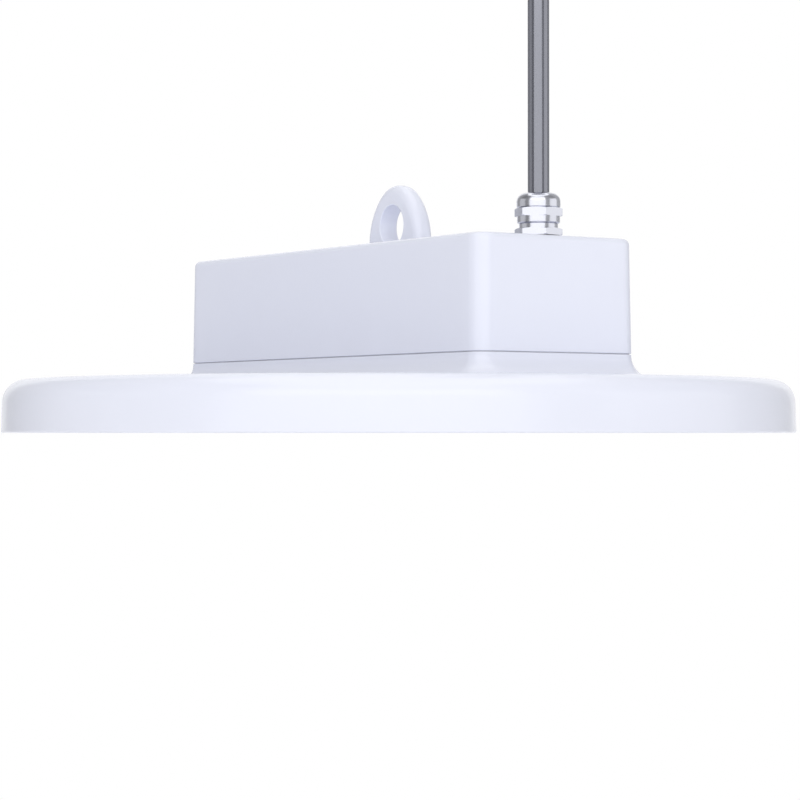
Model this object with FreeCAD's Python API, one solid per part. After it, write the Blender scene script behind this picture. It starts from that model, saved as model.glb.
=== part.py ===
"""High bay light: a slim round LED luminaire with its driver box on top.

Lengths are in millimetres. The origin is the middle of the rim's bottom plane and +Z points up to the
ceiling. +X runs along the driver box towards its cable gland. One STEP file is written for each piece.
"""

import FreeCAD, Part
import math
import os

from FreeCAD import Vector

UP = Vector(0, 0, 1)
ACROSS = Vector(0, 1, 0)
ALONG = Vector(1, 0, 0)
DIAGONAL = math.sqrt(0.5)
ROUNDING = 1e-6

# Housing: the cast disc
disc_radius = 170.0
disc_top = 22.5
rim_corner = 9.6
rim_draft_deg = 2.0
rim_foot_round = 0.8
rim_inner_foot = 165.5
board_seat_radius = 149.0
board_seat = 18.0
lens_seat_radius = 164.0
lens_seat = 13.5

# Housing: the plinth under the driver cover
box_half_length = 114.25
box_half_width = 40.06
box_corner = 7.6
plinth_top = 31.7
plinth_fillet = 8.8
wall = 3.5

# Driver cover
cover_foot = 32.1
cover_top = 78.65
cover_draft_deg = 0.76
cover_top_round = 2.5
cover_inner_corner = 4.1
seam_gasket_inset = 0.9
seam_gasket_width = 1.7
seam_groove_floor = 30.3
column_x = 105.5
column_y = 31.5
column_radius = 7.0
boss_radius = 6.0
stop_pad_radius = 4.5
roof_rib_places = (-72.0, -36.0, 36.0, 72.0)
roof_rib_thickness = 2.5
roof_rib_depth = 6.0

# Hanging eye
eye_x = 1.0
eye_hole_radius = 9.0
eye_hole_height = 89.4
eye_apex = 107.0
eye_half_width = 19.8
eye_crown_radius = 14.9
eye_side_radius = 28.2
eye_thickness = 9.0
eye_edge_round = 3.8
eye_hole_round = 0.4
eye_screw_pitch = 26.8

# Screws: shank radius, head radius, head height, hexagon socket across flats
m3 = (1.5, 2.8, 1.8, 2.0)
m4 = (2.0, 3.9, 2.6, 2.5)
m5 = (2.5, 4.2, 4.6, 4.0)

# Cable gland, size M16 with 17 mm spanner flats
gland_x = 99.9
gland_turn_deg = -19.0
gland_flats = 17.1
gland_thread_radius = 8.0
gland_bore_radius = 4.9
gland_washer_top = 79.15
gland_base_top = 82.0
gland_neck_radius = 7.85
gland_neck_top = 84.0
gland_collar_radius = 8.65
gland_collar_top = 86.8
gland_nut_top = 90.2
gland_dome_radius = 8.85
gland_shoulder = 92.7
gland_top = 96.2

# Supply cable and its ceiling fitting
cable_radius = 4.35
sheath_end = 68.0
cord_grip_bottom = 178.0
ceiling_cover_bottom = 186.0
ceiling_plane = 208.0
cable_top = 194.0
ceiling_cover_radius = 36.0

# Driver and wiring
driver_length = 150.0
driver_width = 56.0
driver_height = 36.0
driver_x = -20.0
block_x = 99.9
block_length = 20.0
block_width = 34.0
block_top = 38.0
core_radius = 1.2
core_bend = 20.0
lead_radius = 0.9
lead_bend = 9.0
lead_hole_x = 64.0

# Light engine
board_radius = 147.0
pad_bottom = 17.6
board_bottom = 16.0
chip_size = 5.0
chip_height = 0.7
lens_plate_radius = 163.0
lens_plate_bottom = 10.5
lens_tip = 5.5
lens_radius = 12.0
lens_rings = ((38.0, 6), (80.0, 12), (122.0, 18))
lens_screw_circle = 158.6
lens_screw_count = 8
board_screw_circle = 101.0
board_screw_count = 6
lens_gasket_inner = 151.0
lens_gasket_outer = 153.6
lens_groove_floor = 15.3

# Clearances and details inside
clearance = 0.25
driver_foot = 10.0
driver_foot_height = 2.5
driver_foot_y = 20.0
pole_pitch = 9.0
well_depth = 6.0
lead_depth = 7.0
lead_height = 29.2
core_spread = 2.7
core_lead_in = 5.0
output_height = 48.0
output_pitch = 2.5
block_screw_y = 13.6
grommet_radius = 6.0
grommet_flange = 1.5
earth_x = 79.0
earth_boss_radius = 5.0
earth_boss_top = 27.5
earth_tag_thickness = 0.8
earth_barrel_start = 83.4
earth_barrel_length = 5.0
gland_pad_radius = 12.5
eye_pad_length = 42.0
eye_pad_width = 16.0
cage_radius = 6.4
seal_radius = 5.6
cup_radius = 7.2
cup_top = 90.5
nut_cone_foot = 91.1
lock_nut_flats = 19.0
lock_nut_thickness = 3.5
ceiling_base_bottom = 205.0
ceiling_bevel = 4.0
ceiling_skin = 2.0
grip_nose_radius = 6.2
grip_radius = 8.0
driver_round = 3.0
cage_slot = 0.9
cage_ring = 2.5
collar_edge = 0.5
nut_waist = 0.35
nut_corner_drop = 0.3
socket_share = 0.55

# Sizes that follow from the ones above
roof_inside = cover_top - wall
roof_pad = roof_inside - 1.5
cover_screw_seat = cover_top - m5[2] - 0.8
cover_screw_tip = board_seat + 3.5
eye_screw_tip = cover_top + 9.0
eye_screw_end = eye_screw_tip - 1.0
lens_screw_tip = lens_seat + 5.0
board_screw_tip = board_seat + 2.6
floor_screw_tip = disc_top - 3.2
driver_end = driver_x + driver_length / 2.0 - driver_foot
block_face = block_x - block_length / 2.0
gland_thread_end = roof_pad - lock_nut_thickness - 1.0
cage_top = nut_cone_foot + cup_radius - cage_radius


# ---- shapes that several pieces share ----


def drum(radius, low, high, x=0.0, y=0.0):
    """Upright round bar."""
    return Part.makeCylinder(radius, high - low, Vector(x, y, low))


def ring(outer, inner, low, high, x=0.0, y=0.0):
    """Upright round bar with a round hole through it."""
    return drum(outer, low, high, x, y).cut(drum(inner, low, high, x, y))


def bar(radius, length, start):
    """Round bar along +X."""
    return Part.makeCylinder(radius, length, start, ALONG)


def block(length, width, low, high, x=0.0, y=0.0):
    """Box centred on x, y."""
    return Part.makeBox(length, width, high - low, Vector(x - length / 2, y - width / 2, low))


def hexagon(flats, low, high, x=0.0, y=0.0, turn_deg=0.0):
    """Upright hexagonal bar, with a corner at turn_deg from +X."""
    reach = flats / math.sqrt(3.0)
    turns = [math.radians(turn_deg + 60.0 * side) for side in range(7)]
    points = [Vector(x + reach * math.cos(a), y + reach * math.sin(a), low) for a in turns]
    return Part.Face(Part.makePolygon(points)).extrude(UP * (high - low))


def rounded_rectangle(half_x, half_y, corner, height):
    """Closed wire at a height: four straight sides joined by quarter circles."""
    sink = corner * (1.0 - DIAGONAL)
    edges = []
    for quarter in range(4):
        turn = math.radians(90.0 * quarter)
        reach, aside = (half_x, half_y) if quarter % 2 == 0 else (half_y, half_x)
        spots = [
            (reach, corner - aside),
            (reach, aside - corner),
            (reach - sink, aside - sink),
            (reach - corner, aside),
        ]
        side_start, side_end, corner_middle, corner_end = [
            Vector(u * math.cos(turn) - v * math.sin(turn), u * math.sin(turn) + v * math.cos(turn), height)
            for u, v in spots
        ]
        edges.append(Part.LineSegment(side_start, side_end).toShape())
        edges.append(Part.Arc(side_end, corner_middle, corner_end).toShape())
    return Part.Wire(edges)


def box_wire(inset, height, corner=box_corner):
    """The driver box's outline at a height, moved in by inset and by the walls' draft above the seam."""
    drift = inset + max(0.0, height - cover_foot) * math.tan(math.radians(cover_draft_deg))
    return rounded_rectangle(box_half_length - drift, box_half_width - drift, corner, height)


def upright(wire, height):
    """Solid raised straight up from a closed wire."""
    return Part.Face(wire).extrude(UP * height)


def turned(points, x=0.0):
    """Solid turned about the upright axis at x from (radius, height) points. An entry that holds two
    points is an arc through the first to the second."""
    edges = []
    start = Vector(x + points[0][0], 0, points[0][1])
    for step in points[1:] + points[:1]:
        is_arc = isinstance(step[0], tuple)
        radius, height = step[1] if is_arc else step
        finish = Vector(x + radius, 0, height)
        if is_arc:
            middle = Vector(x + step[0][0], 0, step[0][1])
            edges.append(Part.Arc(start, middle, finish).toShape())
        else:
            edges.append(Part.LineSegment(start, finish).toShape())
        start = finish
    return Part.Face(Part.Wire(edges)).revolve(Vector(x, 0, 0), UP, 360)


def on_circle(radius, count, first_deg=0.0):
    """Places evenly spread round the light's axis."""
    turns = [math.radians(first_deg + 360.0 * n / count) for n in range(count)]
    return [(radius * math.cos(a), radius * math.sin(a)) for a in turns]


def screws(size, places, seat, tip):
    """Hexagon socket screws: each head rests on the plane z = seat and each shank ends at z = tip."""
    shank, head, head_height, socket = size
    crown = seat + math.copysign(head_height, seat - tip)
    socket_floor = crown + (seat - crown) * socket_share
    pieces = []
    for x, y in places:
        body = drum(head, min(seat, crown), max(seat, crown), x, y)
        body = body.fuse(drum(shank, min(seat, tip), max(seat, tip), x, y))
        socket_hole = hexagon(socket, min(crown, socket_floor), max(crown, socket_floor), x, y)
        pieces.append(body.cut(socket_hole).removeSplitter())
    return Part.makeCompound(pieces)


def drilled(places, radius, low, high):
    """Round bars at the places, to be cut away."""
    return [drum(radius, low, high, x, y) for x, y in places]


def wire_run(points, bend, radius):
    """Wire of round section: straight runs through the points, joined by tangent arcs of radius bend."""
    edges = []
    start = points[0]
    for before, turn, after in zip(points, points[1:], points[2:]):
        inward = (before - turn).normalize()
        onward = (after - turn).normalize()
        half_turn = (math.pi - inward.getAngle(onward)) / 2.0
        reach = bend * math.tan(half_turn)
        middle = turn + (inward + onward).normalize() * bend * (1.0 / math.cos(half_turn) - 1.0)
        arc_end = turn + onward * reach
        edges.append(Part.LineSegment(start, turn + inward * reach).toShape())
        edges.append(Part.Arc(turn + inward * reach, middle, arc_end).toShape())
        start = arc_end
    edges.append(Part.LineSegment(start, points[-1]).toShape())
    section = Part.Wire(Part.makeCircle(radius, points[0], points[1] - points[0]))
    run = Part.Wire(edges).makePipeShell([section], True, False)
    share = run.Volume / (math.pi * radius**2 * sum(edge.Length for edge in edges))
    print(f"wire bends {bend:.1f} mm, {bend / (2 * radius):.1f} diameters; volume share {share:.4f}")
    return run


# ---- places that several pieces share ----


def cover_screw_places():
    """The four corners of the driver box."""
    return [(sx * column_x, sy * column_y) for sx in (-1, 1) for sy in (-1, 1)]


def eye_screw_places():
    """One under each leg of the eye."""
    return [(eye_x + side * eye_screw_pitch / 2.0, 0.0) for side in (-1, 1)]


def driver_screw_places():
    """In the feet at the driver's ends."""
    reach = (driver_length - driver_foot) / 2.0
    return [(driver_x + sx * reach, sy * driver_foot_y) for sx in (-1, 1) for sy in (-1, 1)]


def block_screw_places():
    """At the ends of the terminal block."""
    return [(block_x, -block_screw_y), (block_x, block_screw_y)]


def board_screw_places():
    """Between the middle and the outer ring of lenses."""
    return on_circle(board_screw_circle, board_screw_count, 30.0)


def lens_screw_places():
    """Round the edge of the lens plate."""
    return on_circle(lens_screw_circle, lens_screw_count, 180.0 / lens_screw_count)


def lens_places():
    """Three rings of lenses, every second ring turned by half a step, with an LED behind each lens."""
    places = []
    for number, (radius, count) in enumerate(lens_rings):
        places += on_circle(radius, count, (180.0 / count) * (number % 2))
    return places


def output_lead_holes(low, high):
    """The space of the two output leads where they go down through the housing."""
    return drilled([(lead_hole_x, -output_pitch), (lead_hole_x, output_pitch)], lead_radius, low, high)


# ---- the cast housing ----


def housing_disc():
    """Shallow turned disc: flat top, rounded shoulder, drafted rim, and a stepped underside that seats
    the LED board and, lower down, the lens plate and the gasket's groove."""
    rim_height = disc_top - rim_corner
    rim_radius = disc_radius - (rim_height - rim_foot_round) * math.tan(math.radians(rim_draft_deg))
    shoulder = rim_corner * (1.0 - DIAGONAL)
    foot = rim_foot_round * (1.0 - DIAGONAL)
    return turned(
        [
            (0.0, board_seat),
            (board_seat_radius, board_seat),
            (board_seat_radius, lens_seat),
            (lens_gasket_inner, lens_seat),
            (lens_gasket_inner, lens_groove_floor),
            (lens_gasket_outer, lens_groove_floor),
            (lens_gasket_outer, lens_seat),
            (lens_seat_radius, lens_seat),
            (rim_inner_foot, 0.0),
            (disc_radius - rim_foot_round, 0.0),
            ((disc_radius - foot, foot), (disc_radius, rim_foot_round)),
            (rim_radius, rim_height),
            ((rim_radius - shoulder, disc_top - shoulder), (rim_radius - rim_corner, disc_top)),
            (0.0, disc_top),
        ]
    )


def plinth_junction(body):
    """The edges where the plinth's walls meet the disc's flat top."""
    found = []
    for edge in body.Edges:
        bounds = edge.BoundBox
        flat = bounds.ZLength < ROUNDING and abs(bounds.ZMin - disc_top) < ROUNDING
        if flat and max(bounds.XMax, -bounds.XMin) < box_half_length + ROUNDING:
            found.append(edge)
    return found


def seam_band(low, high):
    """Closed band under the cover's foot, which follows the box's outline: the seam gasket's space."""
    inner_inset = seam_gasket_inset + seam_gasket_width
    outer = upright(box_wire(seam_gasket_inset, low, box_corner - seam_gasket_inset), high - low)
    inner = upright(box_wire(inner_inset, low, box_corner - inner_inset), high - low)
    return outer.cut(inner)


def heat_sink_housing():
    """One casting: the disc and the plinth that rises from it in a wide fillet, with the driver's
    pocket, a gasket groove along the plinth's edge and a tapped boss in each corner."""
    plinth = upright(box_wire(0.0, disc_top), plinth_top - disc_top)
    body = housing_disc().fuse(plinth).removeSplitter()
    body = body.makeFillet(plinth_fillet, plinth_junction(body))
    body = body.cut(upright(box_wire(wall, disc_top, cover_inner_corner), plinth_top - disc_top))
    bosses = drilled(cover_screw_places(), boss_radius, disc_top, plinth_top)
    bosses.append(drum(earth_boss_radius, disc_top, earth_boss_top, earth_x))
    body = body.fuse(bosses)
    cuts = [seam_band(seam_groove_floor, plinth_top)]
    cuts += drilled(cover_screw_places(), m5[0], cover_screw_tip, plinth_top)
    cuts += drilled(lens_screw_places(), m4[0], lens_seat, lens_screw_tip)
    cuts += drilled(board_screw_places(), m3[0], board_seat, board_screw_tip)
    cuts += drilled(driver_screw_places(), m4[0], floor_screw_tip, disc_top)
    cuts += drilled(block_screw_places(), m3[0], floor_screw_tip, disc_top)
    cuts += [drum(grommet_radius, board_seat, disc_top, lead_hole_x)]
    cuts += [drum(m4[0], disc_top, earth_boss_top, earth_x)]
    return body.cut(cuts).removeSplitter()


# ---- the driver cover and the eye ----


def driver_cover():
    """One casting: a drafted box open below, with a rounded roof edge, four screw columns with sunk
    seats for the heads, ribs under the roof and thick pads under the gland and the eye."""
    body = Part.makeLoft([box_wire(0.0, cover_foot), box_wire(0.0, cover_top)], True, True)
    roof_edges = [edge for edge in body.Edges if edge.BoundBox.ZMin > cover_top - ROUNDING]
    body = body.makeFillet(cover_top_round, roof_edges)
    hollow_foot = box_wire(wall, cover_foot, cover_inner_corner)
    hollow_roof = box_wire(wall, roof_inside, cover_inner_corner)
    body = body.cut(Part.makeLoft([hollow_foot, hollow_roof], True, True))
    rib_length = 2.0 * (box_half_width - wall)
    inside = drilled(cover_screw_places(), column_radius, cover_foot, roof_inside)
    inside += drilled(cover_screw_places(), stop_pad_radius, plinth_top, cover_foot)
    inside += [drum(gland_pad_radius, roof_pad, roof_inside, gland_x)]
    inside += [block(eye_pad_length, eye_pad_width, roof_pad, roof_inside, eye_x)]
    inside += [
        block(roof_rib_thickness, rib_length, roof_inside - roof_rib_depth, roof_inside, x)
        for x in roof_rib_places
    ]
    body = body.fuse(inside)
    cuts = drilled(cover_screw_places(), m5[0] + clearance, plinth_top, cover_top)
    cuts += drilled(cover_screw_places(), m5[1] + clearance, cover_screw_seat, cover_top)
    cuts += drilled(eye_screw_places(), m5[0] + clearance, roof_pad, cover_top)
    cuts += [drum(gland_thread_radius, roof_pad, cover_top, gland_x)]
    return body.cut(cuts).removeSplitter()


def round_edges_in_faces(lug, shortest, longest):
    """The edges of the lug's two flat faces whose height lies between the two limits."""
    return [
        edge
        for edge in lug.Edges
        if edge.BoundBox.YLength < ROUNDING and shortest < edge.BoundBox.ZLength < longest
    ]


def mirrored(point):
    """The matching point on the eye's other half."""
    return Vector(2.0 * eye_x - point.x, point.y, point.z)


def hanging_eye():
    """Cast lug: a narrow crown arc runs into wide side arcs that come upright just above the foot, with a
    round hole for the hook, rounded edges, and a tapped hole up each leg for a screw from the roof."""
    crown_height = eye_apex - eye_crown_radius
    apart = eye_side_radius - eye_crown_radius
    centre_shift = eye_side_radius - eye_half_width
    side_height = crown_height - math.sqrt(apart**2 - centre_shift**2)
    side_centre = Vector(eye_x - centre_shift, 0, side_height)
    crown_centre = Vector(eye_x, 0, crown_height)
    outward = (crown_centre - side_centre).normalize()
    foot = Vector(eye_x + eye_half_width, 0, cover_top)
    knee = Vector(eye_x + eye_half_width, 0, side_height)
    side_middle = side_centre + (outward + ALONG).normalize() * eye_side_radius
    touch = crown_centre + outward * eye_crown_radius
    outline = [
        Part.LineSegment(mirrored(foot), foot).toShape(),
        Part.LineSegment(foot, knee).toShape(),
        Part.Arc(knee, side_middle, touch).toShape(),
        Part.Arc(touch, Vector(eye_x, 0, eye_apex), mirrored(touch)).toShape(),
        Part.Arc(mirrored(touch), mirrored(side_middle), mirrored(knee)).toShape(),
        Part.LineSegment(mirrored(knee), mirrored(foot)).toShape(),
    ]
    lug = Part.Face(Part.Wire(outline)).extrude(ACROSS * eye_thickness)
    lug.translate(ACROSS * (-eye_thickness / 2.0))
    lug = lug.makeFillet(eye_edge_round, round_edges_in_faces(lug, 1.0, eye_apex))
    hole_start = Vector(eye_x, -eye_thickness / 2.0, eye_hole_height)
    lug = lug.cut(Part.makeCylinder(eye_hole_radius, eye_thickness, hole_start, ACROSS))
    across = 2.0 * eye_hole_radius
    rims = round_edges_in_faces(lug, across - ROUNDING, across + ROUNDING)
    lug = lug.makeFillet(eye_hole_round, rims)
    return lug.cut(drilled(eye_screw_places(), m5[0], cover_top, eye_screw_tip))


# ---- the cable gland ----


def spanner_nut(flats, low, high):
    """Hexagonal bar on the gland's axis whose corners are turned off at the top."""
    reach = flats / math.sqrt(3.0)
    drop = nut_corner_drop * (reach - flats / 2.0)
    envelope = [(0.0, low), (reach, low), (reach, high - drop), (flats / 2.0, high), (0.0, high)]
    return hexagon(flats, low, high, gland_x, 0.0, gland_turn_deg).common(turned(envelope, gland_x))


def gland_body():
    """Turned brass body: thread through the roof, hexagonal flange, neck, and a threaded cup that holds
    the clamping cage and the seal."""
    stem = turned(
        [
            (gland_bore_radius, gland_thread_end),
            (gland_thread_radius, gland_thread_end),
            (gland_thread_radius, gland_washer_top),
            (gland_neck_radius, gland_washer_top),
            (gland_neck_radius, gland_neck_top),
            (cup_radius, gland_neck_top),
            (cup_radius, cup_top),
            (cage_radius, cup_top),
            (cage_radius, gland_base_top),
            (gland_bore_radius, gland_base_top),
        ],
        gland_x,
    )
    flange = spanner_nut(gland_flats, gland_washer_top, gland_base_top)
    flange = flange.cut(drum(gland_neck_radius - 0.1, gland_washer_top, gland_base_top, gland_x))
    return stem.fuse(flange).removeSplitter()


def gland_washer():
    """Flat sealing washer between the flange and the roof."""
    return ring(gland_flats / 2.0 - 0.2, gland_thread_radius, cover_top, gland_washer_top, gland_x)


def gland_lock_nut():
    """Thin hexagonal nut on the gland's thread, inside the roof."""
    nut = hexagon(lock_nut_flats, roof_pad - lock_nut_thickness, roof_pad, gland_x, 0.0, 30.0)
    return nut.cut(drum(gland_thread_radius, roof_pad - lock_nut_thickness, roof_pad, gland_x))


def gland_clamping_cage():
    """Plastic cage of six fingers that the dome nut closes on the seal."""
    sleeve = ring(cage_radius, seal_radius, gland_base_top, cage_top, gland_x)
    slots = []
    for turn in (0.0, 60.0, 120.0):
        slot = block(3.0 * cage_radius, cage_slot, gland_base_top + cage_ring, cage_top, gland_x)
        slot.rotate(Vector(gland_x, 0, 0), UP, turn)
        slots.append(slot)
    return sleeve.cut(slots)


def gland_seal():
    """Rubber bush that grips the cable."""
    return ring(seal_radius, cable_radius, gland_base_top, cage_top, gland_x)


def gland_dome_nut():
    """Dome nut: round collar, spanner flats, rounded dome and a flat mouth round the cable, hollow over
    the body's cup."""
    dome_round = gland_top - gland_shoulder
    waist = gland_dome_radius - nut_waist
    outside = turned(
        [
            (0.0, gland_neck_top),
            (gland_collar_radius - collar_edge, gland_neck_top),
            (gland_collar_radius, gland_neck_top + collar_edge),
            (gland_collar_radius, gland_collar_top),
            (waist, gland_collar_top),
            (waist, gland_nut_top),
            (gland_dome_radius, gland_nut_top + nut_waist),
            (gland_dome_radius, gland_shoulder),
            (
                (gland_dome_radius - dome_round * (1.0 - DIAGONAL), gland_shoulder + dome_round * DIAGONAL),
                (gland_dome_radius - dome_round, gland_top),
            ),
            (0.0, gland_top),
        ],
        gland_x,
    )
    hollow = turned(
        [
            (0.0, gland_neck_top),
            (cup_radius, gland_neck_top),
            (cup_radius, nut_cone_foot),
            (gland_bore_radius, nut_cone_foot + cup_radius - gland_bore_radius),
            (gland_bore_radius, gland_top),
            (0.0, gland_top),
        ],
        gland_x,
    )
    flats = spanner_nut(gland_flats, gland_collar_top, gland_nut_top)
    return outside.fuse(flats).cut(hollow).removeSplitter()


# ---- the ceiling fitting at the cable's upper end ----


def ceiling_cover():
    """Shallow moulded cap with a bevelled shoulder and a hole for the cable."""
    inner_bevel = ceiling_bevel - ceiling_skin / 2.0
    return turned(
        [
            (cable_radius, ceiling_cover_bottom),
            (ceiling_cover_radius - ceiling_bevel, ceiling_cover_bottom),
            (ceiling_cover_radius, ceiling_cover_bottom + ceiling_bevel),
            (ceiling_cover_radius, ceiling_base_bottom),
            (ceiling_cover_radius - ceiling_skin, ceiling_base_bottom),
            (ceiling_cover_radius - ceiling_skin, ceiling_cover_bottom + ceiling_skin + inner_bevel),
            (ceiling_cover_radius - ceiling_skin - inner_bevel, ceiling_cover_bottom + ceiling_skin),
            (cable_radius, ceiling_cover_bottom + ceiling_skin),
        ],
        gland_x,
    )


def ceiling_cord_grip():
    """Tapered grip that closes on the cable under the cap."""
    return turned(
        [
            (cable_radius, cord_grip_bottom),
            (grip_nose_radius, cord_grip_bottom),
            (grip_radius, cord_grip_bottom + 2.0 * (grip_radius - grip_nose_radius)),
            (grip_radius, ceiling_cover_bottom),
            (cable_radius, ceiling_cover_bottom),
        ],
        gland_x,
    )


# ---- the driver and its wiring ----


def led_driver():
    """Potted driver: a box with rounded long edges that stands on a plate with a foot at each end."""
    case_length = driver_length - 2.0 * driver_foot
    case = block(case_length, driver_width, disc_top, disc_top + driver_height, driver_x)
    upper_edges = [edge for edge in case.Edges if edge.BoundBox.ZMin > disc_top + driver_round]
    long_edges = [edge for edge in upper_edges if edge.BoundBox.XLength > driver_foot]
    foot_top = disc_top + driver_foot_height
    plate = block(driver_length, driver_width, disc_top, foot_top, driver_x)
    holes = drilled(driver_screw_places(), m4[0] + clearance, disc_top, foot_top)
    return case.makeFillet(driver_round, long_edges).fuse(plate).cut(holes).removeSplitter()


def terminal_block():
    """Moulded block of three poles: a well above each pole, and a side hole for each lead."""
    body = block(block_length, block_width, disc_top, block_top, block_x)
    poles = (-pole_pitch, 0.0, pole_pitch)
    cuts = drilled([(block_x, pole) for pole in poles], core_radius, block_top - well_depth, block_top)
    cuts += [bar(lead_radius, lead_depth, Vector(block_face, pole, lead_height)) for pole in poles]
    cuts += drilled(block_screw_places(), m3[0] + clearance, disc_top, block_top)
    return body.cut(cuts)


def outer_core(side):
    """Live or neutral core from the cable's sheath down to its pole, in a gentle S."""
    points = [
        Vector(gland_x, side * core_spread, sheath_end),
        Vector(gland_x, side * core_spread, sheath_end - core_lead_in),
        Vector(block_x, side * pole_pitch, block_top + core_lead_in),
        Vector(block_x, side * pole_pitch, block_top - well_depth),
    ]
    return wire_run(points, core_bend, core_radius)


def input_lead(side):
    """Straight lead from a pole of the terminal block to the driver."""
    start = Vector(driver_end, side * pole_pitch, lead_height)
    return bar(lead_radius, block_face + lead_depth - driver_end, start)


def earth_lead():
    """Straight lead from the middle pole to the barrel of the ring tag."""
    start = Vector(earth_barrel_start + 1.0, 0, lead_height)
    return bar(lead_radius, block_face + lead_depth - start.x, start)


def output_lead(side):
    """Lead from the driver's end, down through the grommet to the LED board."""
    aside = side * output_pitch
    points = [
        Vector(driver_end, aside, output_height),
        Vector(lead_hole_x, aside, output_height),
        Vector(lead_hole_x, aside, board_bottom),
    ]
    return wire_run(points, lead_bend, lead_radius)


def earth_tag():
    """Crimped ring tag: a flat ring under the screw's head and a barrel round the earth lead."""
    plate_top = earth_boss_top + earth_tag_thickness
    neck_length = earth_barrel_start + 1.0 - earth_x
    neck_middle = earth_x + neck_length / 2.0
    flat = drum(m4[1], earth_boss_top, plate_top, earth_x)
    flat = flat.fuse(block(neck_length, 2.0 * lead_radius, earth_boss_top, plate_top, neck_middle))
    barrel_start = Vector(earth_barrel_start, 0, lead_height)
    barrel = bar(lead_radius + earth_tag_thickness, earth_barrel_length, barrel_start)
    bore = bar(lead_radius, earth_barrel_length - 1.0, barrel_start + ALONG)
    return flat.fuse(barrel).cut([bore, drum(m4[0], earth_boss_top, plate_top, earth_x)])


def wire_grommet():
    """Silicone plug in the housing's wire hole, with a flange above and a hole for each output lead."""
    flange_top = disc_top + grommet_flange
    plug = drum(grommet_radius, board_seat, disc_top, lead_hole_x)
    flange = drum(grommet_radius + grommet_flange, disc_top, flange_top, lead_hole_x)
    return plug.fuse(flange).cut(output_lead_holes(board_seat, flange_top)).removeSplitter()


# ---- the light engine ----


def board_layer(low, high):
    """Round sheet of the board's outline, with holes for its screws and for the output leads."""
    holes = drilled(board_screw_places(), m3[0] + clearance, low, high)
    return drum(board_radius, low, high).cut(holes + output_lead_holes(low, high))


def led_packages():
    """Square LED packages, one behind each lens."""
    low = board_bottom - chip_height
    return Part.makeCompound([block(chip_size, chip_size, low, board_bottom, x, y) for x, y in lens_places()])


def lens_plate():
    """Moulded clear plate: a flat disc with a domed lens below each LED and a hole for each screw."""
    rise = lens_plate_bottom - lens_tip
    ball = (lens_radius**2 + rise**2) / (2.0 * rise)
    domes = []
    for x, y in lens_places():
        sphere = Part.makeSphere(ball, Vector(x, y, lens_tip + ball))
        domes.append(sphere.common(drum(lens_radius + 1.0, lens_tip, lens_plate_bottom + 0.5, x, y)))
    plate = drum(lens_plate_radius, lens_plate_bottom, lens_seat).fuse(domes)
    holes = drilled(lens_screw_places(), m4[0] + clearance, lens_plate_bottom, lens_seat)
    return plate.cut(holes).removeSplitter()


# ---- every piece, by name ----


def pieces():
    """Name and shape of each piece, from the ceiling down."""
    driver_foot_top = disc_top + driver_foot_height
    tag_top = earth_boss_top + earth_tag_thickness
    yield "ceiling_base", drum(ceiling_cover_radius, ceiling_base_bottom, ceiling_plane, gland_x)
    yield "ceiling_cover", ceiling_cover()
    yield "ceiling_cord_grip", ceiling_cord_grip()
    yield "supply_cable", drum(cable_radius, sheath_end, cable_top, gland_x)
    yield "gland_dome_nut", gland_dome_nut()
    yield "gland_seal", gland_seal()
    yield "gland_clamping_cage", gland_clamping_cage()
    yield "gland_body", gland_body()
    yield "gland_washer", gland_washer()
    yield "gland_lock_nut", gland_lock_nut()
    yield "hanging_eye", hanging_eye()
    yield "hanging_eye_screws", screws(m5, eye_screw_places(), roof_pad, eye_screw_end)
    yield "driver_cover", driver_cover()
    yield "cover_screws", screws(m5, cover_screw_places(), cover_screw_seat, cover_screw_tip)
    yield "cover_gasket", seam_band(seam_groove_floor, cover_foot)
    yield "mains_core_live", outer_core(-1)
    yield "mains_core_neutral", outer_core(1)
    yield "mains_core_earth", drum(core_radius, block_top - well_depth, sheath_end, gland_x)
    yield "terminal_block", terminal_block()
    yield "terminal_block_screws", screws(m3, block_screw_places(), block_top, floor_screw_tip)
    yield "input_lead_live", input_lead(-1)
    yield "input_lead_neutral", input_lead(1)
    yield "earth_lead", earth_lead()
    yield "earth_tag", earth_tag()
    yield "earth_screw", screws(m4, [(earth_x, 0.0)], tag_top, disc_top)
    yield "led_driver", led_driver()
    yield "driver_screws", screws(m4, driver_screw_places(), driver_foot_top, floor_screw_tip)
    yield "output_lead_positive", output_lead(-1)
    yield "output_lead_negative", output_lead(1)
    yield "wire_grommet", wire_grommet()
    yield "heat_sink_housing", heat_sink_housing()
    yield "thermal_pad", board_layer(pad_bottom, board_seat)
    yield "led_board", board_layer(board_bottom, pad_bottom)
    yield "board_screws", screws(m3, board_screw_places(), board_bottom, board_screw_tip)
    yield "led_packages", led_packages()
    yield "lens_gasket", ring(lens_gasket_outer, lens_gasket_inner, lens_seat, lens_groove_floor)
    yield "lens_plate", lens_plate()
    yield "lens_screws", screws(m4, lens_screw_places(), lens_plate_bottom, lens_screw_tip)


os.makedirs("parts", exist_ok=True)
for node, shape in pieces():
    solids = shape.Solids
    assert solids and all(solid.isValid() for solid in solids), node
    shape = solids[0] if len(solids) == 1 else Part.makeCompound(solids)
    shape.exportStep(f"parts/{node}.step")
    print(f"{node:24s} solids {len(solids):2d}, volume {shape.Volume / 1000.0:8.3f} cubic cm")
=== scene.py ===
import math

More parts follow.
